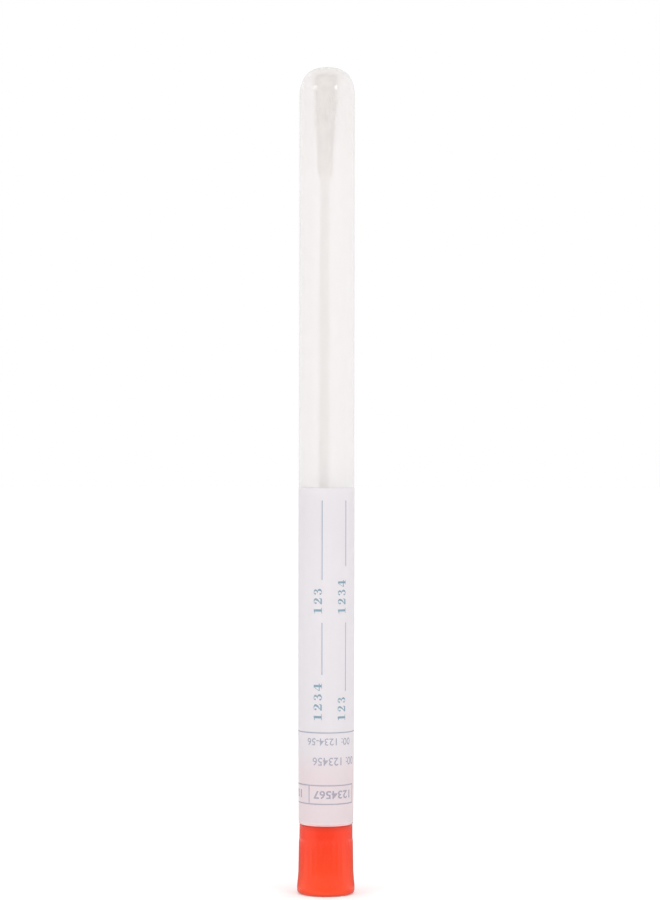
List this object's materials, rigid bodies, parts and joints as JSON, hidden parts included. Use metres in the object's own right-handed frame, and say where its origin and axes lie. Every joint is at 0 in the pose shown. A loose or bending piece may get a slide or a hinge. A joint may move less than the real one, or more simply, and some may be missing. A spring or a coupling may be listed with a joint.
{
  "type": "specimen swab tube",
  "caption": "Round-ended translucent specimen tube standing on its push-in cap, with a fibre-tipped swab stick fixed in the cap and a wrapped paper label.",
  "frame": {"origin": "centre of the cap's flat end, which the tube stands on", "axes": "+Z along the tube from the cap to the round closed end, +Y towards the back, where the label laps, +X to the right of the printed side"},
  "size_m": [0.0122, 0.0122, 0.175],
  "materials": {
    "cap_plastic": "satin orange-red moulded polyethylene",
    "tube_plastic": "milky translucent moulded polypropylene, smooth",
    "stick_plastic": "smooth white moulded plastic",
    "bud_fibre": "wound off-white fibre",
    "label_paper": "matt label paper with plain ruled lines and numerals"
  },
  "bodies": {
    "swab": {"cap": "cap_plastic", "swab_shaft": "stick_plastic", "swab_bud": "bud_fibre"},
    "tube": {"tube": "tube_plastic", "label": "label_paper"}
  },
  "joints": [
    {"name": "tube_pull", "type": "slide", "parent": "swab", "child": "tube", "axis": [0, 0, 1], "range_m": [0, 0.165]}
  ]
}
